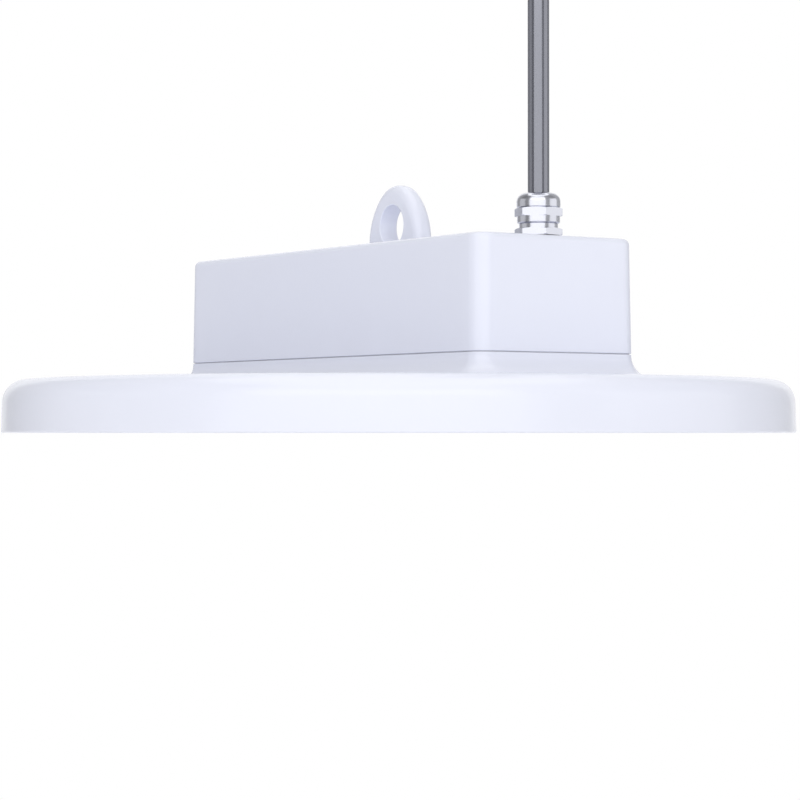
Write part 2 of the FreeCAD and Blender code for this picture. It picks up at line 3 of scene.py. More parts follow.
import bmesh
import bpy
import numpy as np
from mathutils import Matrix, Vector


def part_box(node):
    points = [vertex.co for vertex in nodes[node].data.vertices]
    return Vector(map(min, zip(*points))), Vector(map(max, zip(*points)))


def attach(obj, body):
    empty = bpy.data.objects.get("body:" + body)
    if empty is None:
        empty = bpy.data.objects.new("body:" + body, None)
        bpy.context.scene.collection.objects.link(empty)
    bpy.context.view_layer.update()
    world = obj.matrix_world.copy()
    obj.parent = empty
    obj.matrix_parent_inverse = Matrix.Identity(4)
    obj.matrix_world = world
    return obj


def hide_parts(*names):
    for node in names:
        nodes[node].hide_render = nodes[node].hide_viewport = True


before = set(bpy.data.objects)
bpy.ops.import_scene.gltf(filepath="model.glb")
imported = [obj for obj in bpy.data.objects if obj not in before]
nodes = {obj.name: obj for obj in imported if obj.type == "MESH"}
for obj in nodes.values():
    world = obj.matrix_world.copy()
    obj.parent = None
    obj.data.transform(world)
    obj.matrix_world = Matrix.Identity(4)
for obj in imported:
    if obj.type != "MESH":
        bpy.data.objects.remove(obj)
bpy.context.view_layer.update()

# ---- Cast housing ------------------------------------------------------------------------------
# One aluminium die casting with a white powder coat: a shallow turned disc, and the plinth of the
# driver box that grows out of its flat top in a wide fillet. A groove along the plinth's edge holds
# the seam gasket, and a boss in each corner takes a screw of the driver cover.

MM = 0.001  # sizes in the shapes below are in millimetres, and meshes are in metres


def span(node):
    """Lowest and highest corner of a node, in millimetres."""
    low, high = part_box(node)
    return np.array(low) / MM, np.array(high) / MM


def skin(grid, ends="poles"):
    """Points and faces over a grid of (row, column, xyz) whose columns run anticlockwise round and close on
    themselves. Each face joins two neighbours of a row to their likes in the next row. Rows run from the top's
    middle outwards and down, so faces point outwards. The first and last row each close in a pole at their
    middle, or, with ends "joined", meet each other."""
    rows, columns = grid.shape[:2]
    number = np.arange(rows * columns).reshape(rows, columns)
    here, there = (number, np.roll(number, -1, 0)) if ends == "joined" else (number[:-1], number[1:])
    faces = np.stack([here, there, np.roll(there, -1, 1), np.roll(here, -1, 1)], -1).reshape(-1, 4).tolist()
    points = grid.reshape(-1, 3)
    if ends == "poles":
        points = np.vstack([points, grid[0].mean(0), grid[-1].mean(0)])
        first, last = number[0], number[-1]
        pole = np.full(columns, rows * columns)
        faces += np.stack([pole, first, np.roll(first, -1)], -1).tolist()
        faces += np.stack([pole + 1, np.roll(last, -1), last], -1).tolist()
    return points, faces


def fitted(name, skins, finish, replaced=(), sharp_deg=32.0):
    """A piece of the light from one or more skins: shaded smooth, with creases where faces meet at more than
    sharp_deg, in its finish, and riding on the light's one body."""
    starts = np.cumsum([0] + [len(points) for points, _ in skins])
    faces = [[start + i for i in face] for start, (_, part) in zip(starts, skins) for face in part]
    mesh = bpy.data.meshes.new(name)
    mesh.from_pydata((np.vstack([points for points, _ in skins]) * MM).tolist(), [], faces)
    mesh.shade_smooth()
    mesh.set_sharp_from_angle(angle=math.radians(sharp_deg))
    mesh.materials.append(finish)
    piece = bpy.data.objects.new(name, mesh)
    bpy.context.scene.collection.objects.link(piece)
    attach(piece, "root")
    if replaced:
        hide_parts(*replaced)
    return piece


def turned(rows, ends="poles", x=0.0, y=0.0, columns=96):
    """Skin turned about an upright axis through x, y: each row is a (radius, height) circle."""
    turn = np.linspace(0.0, 2 * math.pi, columns, endpoint=False)
    radius, height = np.array(rows, float).T[:, :, None]
    grid = np.stack([x + radius * np.cos(turn), y + radius * np.sin(turn), height + 0 * turn], -1)
    return skin(grid, ends)


def arc(middle, radius, first_deg, last_deg, steps):
    """(radius, height) points on a circle, from one bearing above the level to another."""
    turn = np.radians(np.linspace(first_deg, last_deg, steps + 1))
    return np.stack([middle[0] + radius * np.cos(turn), middle[1] + radius * np.sin(turn)], -1).tolist()


def fine_grain():
    """Group of two noises on a piece's own coordinates: Tone, a slow mottling from 0 to 1, and Height, a fine
    relief from 0 to 1. Grain and Mottle are waves per metre."""
    group = bpy.data.node_groups.new("fine_grain", "ShaderNodeTree")
    sockets = (("Place", "NodeSocketVector"), ("Grain", "NodeSocketFloat"), ("Mottle", "NodeSocketFloat"))
    for label, kind in sockets:
        group.interface.new_socket(label, in_out="INPUT", socket_type=kind)
    for label in ("Tone", "Height"):
        group.interface.new_socket(label, in_out="OUTPUT", socket_type="NodeSocketFloat")
    nodes_in, links = group.nodes, group.links
    given, made = nodes_in.new("NodeGroupInput"), nodes_in.new("NodeGroupOutput")
    for scale, detail, result in (("Grain", 2.0, "Height"), ("Mottle", 3.0, "Tone")):
        noise = nodes_in.new("ShaderNodeTexNoise")
        noise.inputs["Detail"].default_value = detail
        links.new(given.outputs["Place"], noise.inputs["Vector"])
        links.new(given.outputs[scale], noise.inputs["Scale"])
        links.new(noise.outputs["Fac"], made.inputs[result])
    return group


grain_group = fine_grain()


def finish_of(name, shade, light, roughness, grain, relief, mottle=40.0, place_scale=(1, 1, 1), **shader):
    """A finish whose colour wanders between two near tones, whose roughness wanders with it between two values,
    and whose grain stands relief metres high. place_scale stretches the grain, as on drawn or turned metal."""
    finish = bpy.data.materials.new(name)
    finish.use_nodes = True
    tree = finish.node_tree
    surface = tree.nodes["Principled BSDF"]
    place = tree.nodes.new("ShaderNodeTexCoord")
    stretch = tree.nodes.new("ShaderNodeMapping")
    stretch.inputs["Scale"].default_value = place_scale
    fine = tree.nodes.new("ShaderNodeGroup")
    fine.node_tree = grain_group
    fine.inputs["Grain"].default_value = grain
    fine.inputs["Mottle"].default_value = mottle
    tones = tree.nodes.new("ShaderNodeMix")
    tones.data_type = "RGBA"
    tones.name = "tones"
    tones.inputs["A"].default_value = (*shade, 1)
    tones.inputs["B"].default_value = (*light, 1)
    sheen = tree.nodes.new("ShaderNodeMapRange")
    sheen.inputs["To Min"].default_value, sheen.inputs["To Max"].default_value = roughness
    bump = tree.nodes.new("ShaderNodeBump")
    bump.inputs["Distance"].default_value = relief
    link = tree.links.new
    link(place.outputs["Object"], stretch.inputs["Vector"])
    link(stretch.outputs["Vector"], fine.inputs["Place"])
    link(fine.outputs["Tone"], tones.inputs["Factor"])
    link(fine.outputs["Tone"], sheen.inputs["Value"])
    link(fine.outputs["Height"], bump.inputs["Height"])
    link(tones.outputs["Result"], surface.inputs["Base Color"])
    link(sheen.outputs["Result"], surface.inputs["Roughness"])
    link(bump.outputs["Normal"], surface.inputs["Normal"])
    for label, value in shader.items():
        surface.inputs[label.replace("_", " ")].default_value = value
    return finish


white_paint = finish_of(
    "white_paint", (0.765, 0.785, 0.885), (0.785, 0.805, 0.905), (0.19, 0.24), 420.0, 0.00003
)

housing_high = span("heat_sink_housing")[1]
disc_radius, plinth_top = housing_high[0], housing_high[2]
disc_top = 22.5
shoulder = 9.6
plinth_fillet = 8.8
wall = 3.5
edge_break = 0.25
groove_inset, groove_width, groove_depth = 0.9, 1.7, 1.4
board_seat_radius, board_seat_inner, board_seat = 149.0, 60.0, 18.0
lens_seat_radius, lens_seat = 164.0, 13.5
lens_groove_inner, lens_groove_outer, lens_groove_floor = 151.0, 153.6, 15.3
rim_inner_foot, foot_round = 165.5, 0.8
rim_draft = math.tan(math.radians(2.0))
rim_height = disc_top - shoulder
rim_radius = disc_radius - (rim_height - foot_round) * rim_draft
screw_corner = np.array([105.5, 31.5])
boss_radius, boss_bore = 6.0, 2.6

cover_high = span("driver_cover")[1]
box_half = cover_high[:2]
box_corner = 7.6


def outline_samples(side_points=(40, 150), corner_points=15):
    """The driver box's outline as points of a skeleton rectangle and the outward direction at each. A point of
    the outline is its skeleton point plus the corner's radius times that direction. On a side the points are
    evenly spread by angle as seen from the middle, and round a corner by the turn of the direction."""
    skeleton, outward = [], []
    for quarter in range(4):
        away, aside = (box_half - box_corner)[:: 1 - 2 * (quarter % 2)]
        widest = math.atan2(aside, away + box_corner + plinth_fillet)
        spread = np.tan(np.linspace(-widest, widest, side_points[quarter % 2])) / math.tan(widest)
        bend = np.linspace(0.0, math.pi / 2, corner_points)[1:-1]
        own = np.concatenate([spread * aside, np.full(len(bend), aside)])
        facing = np.concatenate([0 * spread, bend])
        turn = quarter * math.pi / 2
        cos, sin = math.cos(turn), math.sin(turn)
        skeleton.append(np.stack([away * cos - own * sin, away * sin + own * cos], -1))
        outward.append(np.stack([np.cos(facing + turn), np.sin(facing + turn)], -1))
    return np.vstack(skeleton), np.vstack(outward)


skeleton, outward = outline_samples()
beside = skeleton + (box_corner + plinth_fillet) * outward
bearing = np.arctan2(beside[:, 1], beside[:, 0])


def box_loop(offset, height, drift=0.0, share=1.0):
    """The box's outline moved outwards by offset, at a height. drift brings the walls in with the corners' radius
    kept, as draft does, and share shrinks the whole loop towards the middle."""
    reach = np.abs(skeleton).max(0)
    flat = (skeleton * (1 - drift / reach) + (box_corner + offset) * outward) * share
    return np.column_stack([flat, np.full(len(flat), height)])


def disc_loop(radius, height):
    """Circle whose points lie at the bearings of the box outline's points."""
    return np.column_stack([radius * np.cos(bearing), radius * np.sin(bearing), np.full(len(bearing), height)])


def housing_rows():
    """Rows from the middle of the pocket's floor up the pocket, over the plinth's edge with its groove, down the
    fillet, across the flat top to the circle, round the rim and under the disc to its middle."""
    floor, crest = disc_top, plinth_top
    rows = [box_loop(-wall, floor, share=share) for share in (0.5, 0.96)]
    steps = [(-wall, floor), (-wall, crest), (-groove_inset - groove_width, crest)]
    steps += [(-groove_inset - groove_width, crest - groove_depth), (-groove_inset, crest - groove_depth)]
    steps += [(-groove_inset, crest)]
    steps += arc((-edge_break, crest - edge_break), edge_break, 90, 0, 3)
    fillet = np.array(arc((plinth_fillet, floor + plinth_fillet), plinth_fillet, 180, 270, 16))
    rows += [box_loop(offset, height) for offset, height in steps + fillet.tolist()]
    inner, outer = box_loop(plinth_fillet, floor), disc_loop(rim_radius - shoulder, floor)
    rows += [inner + (outer - inner) * share for share in (0.02, 0.3, 0.65, 0.985)]
    round_rows = arc((rim_radius - shoulder, rim_height), shoulder, 90, 0, 18)
    round_rows += [(disc_radius, foot_round)]
    round_rows += arc((disc_radius - foot_round, foot_round), foot_round, 0, -90, 5)[1:]
    round_rows += arc((rim_inner_foot + edge_break, edge_break), edge_break, -90, -180, 3)
    round_rows += [(lens_seat_radius, lens_seat), (lens_groove_outer, lens_seat)]
    round_rows += [(lens_groove_outer, lens_groove_floor), (lens_groove_inner, lens_groove_floor)]
    round_rows += [(lens_groove_inner, lens_seat)]
    round_rows += [(board_seat_radius, lens_seat), (board_seat_radius, board_seat), (board_seat_inner, board_seat)]
    return np.stack(rows + [disc_loop(radius, height) for radius, height in round_rows])


corner_signs = np.array([(1, 1), (-1, 1), (-1, -1), (1, -1)])
screw_places = corner_signs * screw_corner
boss_rows = [(boss_bore, plinth_top), (boss_radius - 0.3, plinth_top), (boss_radius, plinth_top - 0.3)]
boss_rows += [(boss_radius, disc_top - 1), (boss_radius / 2, disc_top - 1)]
bosses = [turned(boss_rows, x=x, y=y, columns=32) for x, y in screw_places]
fitted("housing_casting", [skin(housing_rows())] + bosses, white_paint, ["heat_sink_housing"])

# ---- Driver cover ------------------------------------------------------------------------------
# Second die casting in the same coat: a drafted box, open below, with a rounded roof edge. A column
# in each corner holds a screw, whose head is sunk below the roof in a countersunk seat.

seam = 0.4
cover_foot = plinth_top + seam
cover_top = cover_high[2]
roof_round = 2.5
draft = math.tan(math.radians(0.76))
column_radius, wall_middle = 7.0, 55.0
screw_seat_radius, screw_seat, screw_clearance = 4.45, cover_top - 5.4, 2.75


def cover_rows():
    """Rows from the middle of the roof over its rounded edge, down the drafted wall, under the foot, up the inner
    wall and across the roof's inside to its middle."""
    roof_inside = cover_top - wall
    rows = [box_loop(-roof_round - 0.5, cover_top, draft * (cover_top - cover_foot), share) for share in (0.5, 0.9)]
    steps = [(-roof_round - 0.5, cover_top)]
    steps += arc((-roof_round, cover_top - roof_round), roof_round, 90, 0, 12)
    steps += [(0.0, cover_top - roof_round - 0.5), (0.0, wall_middle), (0.0, cover_foot + 0.8)]
    steps += arc((-edge_break, cover_foot + edge_break), edge_break, 0, -90, 3)
    steps += [(-wall, cover_foot), (-wall, cover_foot + 0.5), (-wall, roof_inside - 0.5), (-wall, roof_inside)]
    rows += [box_loop(offset, height, draft * (height - cover_foot)) for offset, height in steps]
    rows += [box_loop(-wall, roof_inside, draft * (roof_inside - cover_foot), share) for share in (0.9, 0.5)]
    return np.stack(rows)


def combine(piece, tool, operation):
    """Joins the tool's solid to the piece, or cuts it away, and throws the tool away."""
    step = piece.modifiers.new("combine", "BOOLEAN")
    step.operation, step.object, step.solver = operation, tool, "EXACT"
    shaped = piece.evaluated_get(bpy.context.evaluated_depsgraph_get())
    mesh = bpy.data.meshes.new_from_object(shaped)
    piece.modifiers.clear()
    piece.data = mesh
    bpy.data.objects.remove(tool)


cover = fitted("driver_cover_casting", [skin(cover_rows())], white_paint, ["driver_cover"])
column_rows = [(column_radius, cover_top - 1.5), (column_radius, cover_foot), (3.0, cover_foot)]
columns = [turned(column_rows, x=x, y=y, columns=48) for x, y in screw_places]
combine(cover, fitted("columns", columns, white_paint), "UNION")
seat_rows = [(screw_seat_radius + 0.6, cover_top + 0.2), (screw_seat_radius, cover_top - 0.4)]
seat_rows += [(screw_seat_radius, screw_seat), (screw_clearance, screw_seat), (screw_clearance, cover_foot - 1)]
seats = [turned(seat_rows, x=x, y=y, columns=64) for x, y in screw_places]
combine(cover, fitted("seats", seats, white_paint), "DIFFERENCE")
cover.data.set_sharp_from_angle(angle=math.radians(25.0))

# ---- Cover screws ------------------------------------------------------------------------------
# Four M5 hexagon socket screws of plain stainless steel, one down each corner of the driver cover.
# Heads and shanks are cold formed and rolled, with a small chamfer at each end.

stainless = finish_of(
    "stainless", (0.50, 0.50, 0.51), (0.60, 0.60, 0.61), (0.24, 0.36), 2600.0, 0.000008, Metallic=1.0
)
beyond_corners = 99.0  # a round radius wider than every hexagon, which leaves its flats whole


def hex_turns(corner_flat=0.985, per_flat=7, per_corner=3):
    """Bearings round a hexagon, and the hexagon's radius at each for a distance of 1 from its middle to a flat.
    Each corner is cut to corner_flat of its full reach, so it has a narrow blunt edge."""
    reach = corner_flat * 2 / math.sqrt(3)
    half = math.acos(1 / reach)
    across = np.linspace(-half, half, per_flat)
    corner = np.linspace(half, math.pi / 3 - half, per_corner + 1)[1:-1]
    one = np.concatenate([across, corner])
    flat_middles = np.radians(np.arange(6) * 60.0)
    turn = (flat_middles[:, None] + one).ravel()
    from_flat = np.tile(np.where(one > half, one - math.pi / 3, one), 6)
    return turn, np.minimum(1 / np.cos(from_flat), reach)


def hex_skin(rows, x, y, turn_deg=0.0, ends="poles", flip=False, samples=None):
    """Skin about an upright axis from rows of (radius, height, flats): the radius of a row is the smaller of its
    round radius and its hexagon's, whose distance across flats is given, or 0 for no hexagon. A height may be
    one number or one for each bearing. flip turns the whole skin over, about the axis y = its own y."""
    turn, hexagon = samples if samples else hex_turns()
    turn = turn + math.radians(turn_deg)
    grid = []
    for radius, height, flats in rows:
        reach = np.minimum(radius, hexagon * flats / 2) if flats else radius + 0 * turn
        grid.append(np.stack([reach * np.cos(turn), reach * np.sin(turn), height + 0 * turn], -1))
    grid = np.stack(grid)
    if flip:
        grid = grid * [1, -1, -1]
    return skin(grid + [x, y, 0], ends)


def socket_screw(size, places, seat, tip):
    """Hexagon socket screws at the places, each head standing on the plane z = seat and each shank ending at
    z = tip; size is the shank's radius, the head's radius and height, and the socket's flats. Rows run from the
    socket's floor over the head and down the shank, and are turned over for a screw that points up."""
    shank, head, tall, socket = size
    up = seat < tip
    crown, end = tall - (seat if up else -seat), -tip if up else tip
    foot = crown - tall
    skins = []
    for x, y in places:
        rows = [
            (socket * 0.3, crown - 0.58 * tall, 0),
            (beyond_corners, crown - 0.55 * tall, socket),
            (beyond_corners, crown - 0.25, socket),
            (socket * 0.62, crown, 0),
            (head - 0.35, crown, 0),
            (head - 0.1, crown - 0.1, 0),
            (head, crown - 0.35, 0),
            (head, foot + 0.15, 0),
            (head - 0.15, foot, 0),
            (shank, foot, 0),
            (shank, end + 0.5, 0),
            (shank - 0.4, end, 0),
        ]
        skins.append(hex_skin(rows, x, y, flip=up))
    return skins


cover_screws = socket_screw((2.5, 4.2, 4.6, 4.0), screw_places, screw_seat, span("cover_screws")[0][2])
fitted("cover_socket_screws", cover_screws, stainless, ["cover_screws"])

# ---- Hanging eye -------------------------------------------------------------------------------
# Cast lug in the same white coat, screwed on from inside the roof: a narrow crown arc that runs into two
# wide side arcs, upright at the foot, and a round hole for the hook. All edges but the foot's are rounded.

eye_low, eye_high = span("hanging_eye")
eye_x, half_width = (eye_low[0] + eye_high[0]) / 2, (eye_high[0] - eye_low[0]) / 2
half_thick, edge_round, hole_round = eye_high[1], 3.8, 0.4
hole_radius, hole_height = 9.0, 89.4
crown_radius, side_radius = 14.9, 28.2
crown_height = eye_high[2] - crown_radius
side_shift = side_radius - half_width
side_height = crown_height - math.sqrt((side_radius - crown_radius) ** 2 - side_shift**2)
arcs_meet = math.atan2(crown_height - side_height, side_shift)
foot_bearing = math.atan2(hole_height - eye_low[2], half_width)
lug_turns = np.linspace(0, math.pi, 129)
foot_turns = np.linspace(math.pi + foot_bearing, 2 * math.pi - foot_bearing, 48)
down = np.linspace(0, 1, 8)[1:-1]


def lug_loop(inset, across):
    """The lug's outline in its own upright plane, moved in by inset on the crown and the sides, at y = across.
    A turn's point lies on the arc whose span the turn is in; the feet are short uprights and a level line."""
    on_side = np.abs(np.cos(lug_turns)) > math.cos(arcs_meet)
    centre_x = -side_shift * np.sign(np.cos(lug_turns)) * on_side
    centre_z = np.where(on_side, side_height, crown_height)
    radius = np.where(on_side, side_radius, crown_radius) - inset
    over = np.column_stack([centre_x + radius * np.cos(lug_turns), centre_z + radius * np.sin(lug_turns)])
    foot, drop = half_width - inset, side_height - eye_low[2]
    left = np.column_stack([np.full(len(down), -foot), side_height - drop * down])
    level = np.column_stack([np.linspace(-foot, foot, len(foot_turns)), np.full(len(foot_turns), eye_low[2])])
    flat = np.vstack([over, left, level, (left * [-1, 1])[::-1]])
    return np.column_stack([eye_x + flat[:, 0], np.full(len(flat), across), flat[:, 1]])


def hole_loop(radius, across):
    """Circle round the hole's axis at y = across, with a point for each of the outline's."""
    leg_turns = math.pi + foot_bearing * down
    turns = np.concatenate([lug_turns, leg_turns, foot_turns, 3 * math.pi - leg_turns[::-1]])
    x, z = eye_x + radius * np.cos(turns), hole_height + radius * np.sin(turns)
    return np.column_stack([x, np.full(len(x), across), z])


def lug_rows():
    """Rows that run from the hole's wall out over the front face, round the outline and back over the rear face
    to the hole."""
    out = arc((hole_radius + hole_round, half_thick - hole_round), hole_round, 180, 90, 6)
    front = [hole_loop(radius, -across) for radius, across in out]
    front.append(hole_loop(hole_radius + hole_round + 0.3, -half_thick))
    edge = arc((-edge_round, half_thick - edge_round), edge_round, 90, 0, 14)
    front.append(lug_loop(edge_round + 0.3, -half_thick))
    front += [lug_loop(-inset, -across) for inset, across in edge]
    return np.stack(front + [row * [1, -1, 1] for row in front[::-1]])


fitted("hanging_eye_lug", [skin(lug_rows(), "joined")], white_paint, ["hanging_eye"], 40.0)

# ---- Cable gland -------------------------------------------------------------------------------
# M16 gland of nickel plated brass: a hexagonal flange and a neck, and over them the dome nut with its
# collar, spanner flats and dome. A thin rubber washer seals the flange on the roof.

nickel = finish_of(
    "nickel", (0.65, 0.66, 0.73), (0.71, 0.72, 0.79), (0.18, 0.22), 3000.0, 0.000003, mottle=120.0, Metallic=1.0
)
rubber = finish_of("black_rubber", (0.018, 0.018, 0.02), (0.03, 0.03, 0.032), (0.55, 0.7), 1800.0, 0.00002)
body_low = span("gland_body")[0]
nut_low, nut_high = span("gland_dome_nut")
gland_x = (nut_low[0] + nut_high[0]) / 2
gland_turn = 11.0
spanner_flats = 17.1
washer_top, flange_top, neck_top = 79.15, 82.0, nut_low[2]
collar_top, nut_top, dome_foot, nut_crown = 86.8, 90.2, 92.7, nut_high[2]
neck_radius, collar_radius, dome_radius, mouth_radius = 7.85, 8.65, 8.85, 4.9
thread_radius, nut_bore = 8.0, 7.2
washer_bore, washer_radius = 7.9, 8.35
gland_samples = hex_turns(0.992, 15, 4)


def flats_rows(low, high):
    """Rows of spanner flats whose corners are turned off at the top: below, the hexagon; the crease, where a cone
    cuts it, runs high in the middle of each flat and low at each corner; and above it the cone's circle."""
    reach = gland_samples[1].max() * spanner_flats / 2
    dip = 0.3 * (gland_samples[1] * spanner_flats / 2 - spanner_flats / 2)
    rows = [(reach - 0.25, low), (beyond_corners, low + 0.25), (beyond_corners, high - dip)]
    return [(radius, height, spanner_flats) for radius, height in rows] + [(spanner_flats / 2, high, 0)]


body_rows = [(mouth_radius, flange_top), (neck_radius - 1.2, flange_top + 2.0), (neck_radius - 0.3, neck_top)]
body_rows += [(neck_radius, neck_top - 0.3), (neck_radius, flange_top)]
body_rows = [(radius, height, 0) for radius, height in body_rows]
body_rows += flats_rows(washer_top, flange_top)[::-1]
body_rows += [(thread_radius, washer_top, 0), (thread_radius, body_low[2] + 0.6, 0)]
body_rows += [(thread_radius - 0.6, body_low[2], 0), (mouth_radius, body_low[2], 0)]
gland_skin = {"x": gland_x, "y": 0.0, "turn_deg": gland_turn, "ends": "joined", "samples": gland_samples}
fitted("gland_flange", [hex_skin(body_rows, **gland_skin)], nickel, ["gland_body"], 20.0)

dome_round = nut_crown - dome_foot
nut_rows = [(mouth_radius, nut_crown - 0.3), (mouth_radius + 0.3, nut_crown)]
nut_rows += arc((dome_radius - dome_round, dome_foot), dome_round, 90, 0, 14)
nut_rows += [(dome_radius, nut_top + 0.35), (dome_radius - 0.35, nut_top)]
nut_rows = [(radius, height, 0) for radius, height in nut_rows] + flats_rows(collar_top, nut_top)[::-1]
nut_rows += [(collar_radius, collar_top, 0), (collar_radius, neck_top + 0.4, 0), (collar_radius - 0.4, neck_top, 0)]
nut_rows += [(nut_bore, neck_top, 0), (nut_bore, 91.1, 0), (mouth_radius, 93.4, 0)]
fitted("gland_cap_nut", [hex_skin(nut_rows, **gland_skin)], nickel, ["gland_dome_nut"], 20.0)
washer = [(washer_bore, washer_top), (washer_radius - 0.1, washer_top), (washer_radius, washer_top - 0.15)]
washer += [(washer_radius, cover_top + 0.02), (washer_bore, cover_top + 0.02)]
fitted("gland_rubber_washer", [turned(washer, "joined", gland_x)], rubber, ["gland_washer"])

# ---- Supply cable ------------------------------------------------------------------------------
# Three-core flexible lead in a smooth grey PVC sheath. It is clamped in the gland and runs dead
# straight up to the ceiling fitting, which holds it taut.

cable_low, cable_high = span("supply_cable")
glossy_pvc = {"IOR": 2.15, "Specular_IOR_Level": 1.0, "Specular_Tint": (0.88, 0.9, 1.0, 1.0)}
drawn = {"grain": 900.0, "relief": 0.000003, "place_scale": (1, 1, 0.08)}
sheath = finish_of("grey_sheath", (0.036, 0.036, 0.050), (0.050, 0.050, 0.066), (0.12, 0.16), **drawn, **glossy_pvc)
cable_diameter = 8.7
route = [(gland_x, 0.0, height) for height in (cable_low[2], 84.0, nut_crown, 110.0, 140.0, 170.0, cable_high[2])]
line = bpy.data.curves.new("supply_lead", "CURVE")
line.dimensions = "3D"
line.bevel_depth = cable_diameter / 2 * MM
line.bevel_resolution = 12
line.use_fill_caps = True
spline = line.splines.new("NURBS")
spline.points.add(len(route) - 1)
spline.points.foreach_set("co", (np.column_stack([route, np.full(len(route), 1 / MM)]) * MM).ravel())
spline.order_u = 3
spline.use_endpoint_u = True
line.materials.append(sheath)
lead = bpy.data.objects.new("supply_lead", line)
bpy.context.scene.collection.objects.link(lead)
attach(lead, "root")
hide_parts("supply_cable")

# ---- Ceiling fitting ---------------------------------------------------------------------------
# White moulded cap with a bevelled shoulder over a round base that is screwed to the ceiling. A
# tapered cord grip under the cap takes the cable.

ceiling_white = finish_of(
    "ceiling_plastic", (0.74, 0.74, 0.74), (0.78, 0.78, 0.78), (0.38, 0.46), 1500.0, 0.00002
)
cap_low, cap_high = span("ceiling_cover")
base_low, base_high = span("ceiling_base")
grip_low, grip_high = span("ceiling_cord_grip")
cap_radius = (cap_high[0] - cap_low[0]) / 2
grip_radius = (grip_high[0] - grip_low[0]) / 2
cap_hole, grip_bore = 4.4, 4.36
cap_inside = cap_high[2] - 17.0


def ceiling_piece(name, rows, ends, node):
    """One turned piece of the fitting, in its white plastic."""
    return fitted(name, [turned(rows, ends, gland_x)], ceiling_white, [node], 50.0)


cap_rows = [(cap_hole, cap_inside), (cap_radius - 5, cap_inside), (cap_radius - 2, cap_inside + 3)]
cap_rows += [(cap_radius - 2, cap_high[2]), (cap_radius - 0.3, cap_high[2]), (cap_radius, cap_high[2] - 0.3)]
cap_rows += [(cap_radius, cap_low[2] + 4.3), (cap_radius - 0.15, cap_low[2] + 3.85)]
cap_rows += [(cap_radius - 3.85, cap_low[2] + 0.15), (cap_radius - 4.3, cap_low[2]), (cap_hole, cap_low[2])]
cap = ceiling_piece("ceiling_cap", cap_rows, "joined", "ceiling_cover")
base_rows = [(cap_radius - 6, base_high[2]), (cap_radius - 0.3, base_high[2]), (cap_radius, base_high[2] - 0.3)]
base_rows += [(cap_radius, base_low[2]), (cap_radius - 6, base_low[2])]
plate = ceiling_piece("ceiling_plate", base_rows, "poles", "ceiling_base")
grip_rows = [(grip_bore, grip_high[2]), (grip_radius, grip_high[2]), (grip_radius, grip_low[2] + 3.8)]
grip_rows += [(grip_radius - 0.15, grip_low[2] + 3.3), (6.35, grip_low[2] + 0.3)]
grip_rows += [(6.0, grip_low[2]), (grip_bore, grip_low[2])]
grip = ceiling_piece("ceiling_grip", grip_rows, "joined", "ceiling_cord_grip")

# ---- Lens plate --------------------------------------------------------------------------------
# One clear polycarbonate moulding: a flat disc with a domed lens under each LED. Eight stainless
# M4 socket screws round its edge hold it against the gasket in the housing.

polycarbonate = {"Transmission_Weight": 1.0, "IOR": 1.58}
clear = finish_of(
    "clear_lens", (0.97, 0.98, 0.98), (0.99, 0.99, 0.99), (0.02, 0.05), 90.0, 0.000004, **polycarbonate
)


def smoothed_copy(node, name, finish, sharp_deg):
    """The node's own shape with its loose triangles merged, and shaded smooth between its creases."""
    shape = bmesh.new()
    shape.from_mesh(nodes[node].data)
    bmesh.ops.remove_doubles(shape, verts=shape.verts, dist=0.000002)
    bmesh.ops.recalc_face_normals(shape, faces=shape.faces)
    merged = bpy.data.meshes.new(name)
    shape.to_mesh(merged)
    shape.free()
    points = np.zeros(len(merged.vertices) * 3)
    merged.vertices.foreach_get("co", points)
    corners = np.zeros(len(merged.loops), int)
    merged.loops.foreach_get("vertex_index", corners)
    bpy.data.meshes.remove(merged)
    merged_skin = (points.reshape(-1, 3) / MM, corners.reshape(-1, 3).tolist())
    return fitted(name, [merged_skin], finish, [node], sharp_deg)


smoothed_copy("lens_plate", "lens_moulding", clear, 25.0)
lens_screw_low, lens_screw_high = span("lens_screws")
lens_screw_turns = np.radians(22.5 + 45.0 * np.arange(8))
lens_screw_places = 158.6 * np.stack([np.cos(lens_screw_turns), np.sin(lens_screw_turns)], -1)
lens_screw_head = 2.6
lens_screw_size = (2.0, 3.9, lens_screw_head, 2.5)
lens_screws = socket_screw(
    lens_screw_size, lens_screw_places, lens_screw_low[2] + lens_screw_head, lens_screw_high[2]
)
fitted("lens_socket_screws", lens_screws, stainless, ["lens_screws"])

# ---- LED board ---------------------------------------------------------------------------------
# Aluminium-cored board under a glossy white mask, with 36 LEDs in three rings, one over each lens.
# Each LED is a white ceramic body with a round window of yellow phosphor.

mask = finish_of("board_mask", (0.80, 0.80, 0.78), (0.84, 0.84, 0.82), (0.22, 0.3), 1200.0, 0.00001)
ceramic = finish_of("led_ceramic", (0.72, 0.72, 0.70), (0.78, 0.78, 0.76), (0.35, 0.45), 2500.0, 0.00001)
phosphor = finish_of(
    "led_phosphor", (0.85, 0.55, 0.06), (0.90, 0.63, 0.10), (0.35, 0.5), 6000.0, 0.00003, mottle=3000.0
)
led_foot = span("led_packages")[0][2]


def led_places():
    """Three rings of places, every second ring turned by half a step."""
    rings = ((38.0, 6, 0.0), (80.0, 12, 0.5), (122.0, 18, 0.0))
    turns = [2 * math.pi * (np.arange(count) + step) / count for _, count, step in rings]
    return np.vstack([r[0] * np.stack([np.cos(t), np.sin(t)], -1) for r, t in zip(rings, turns)])


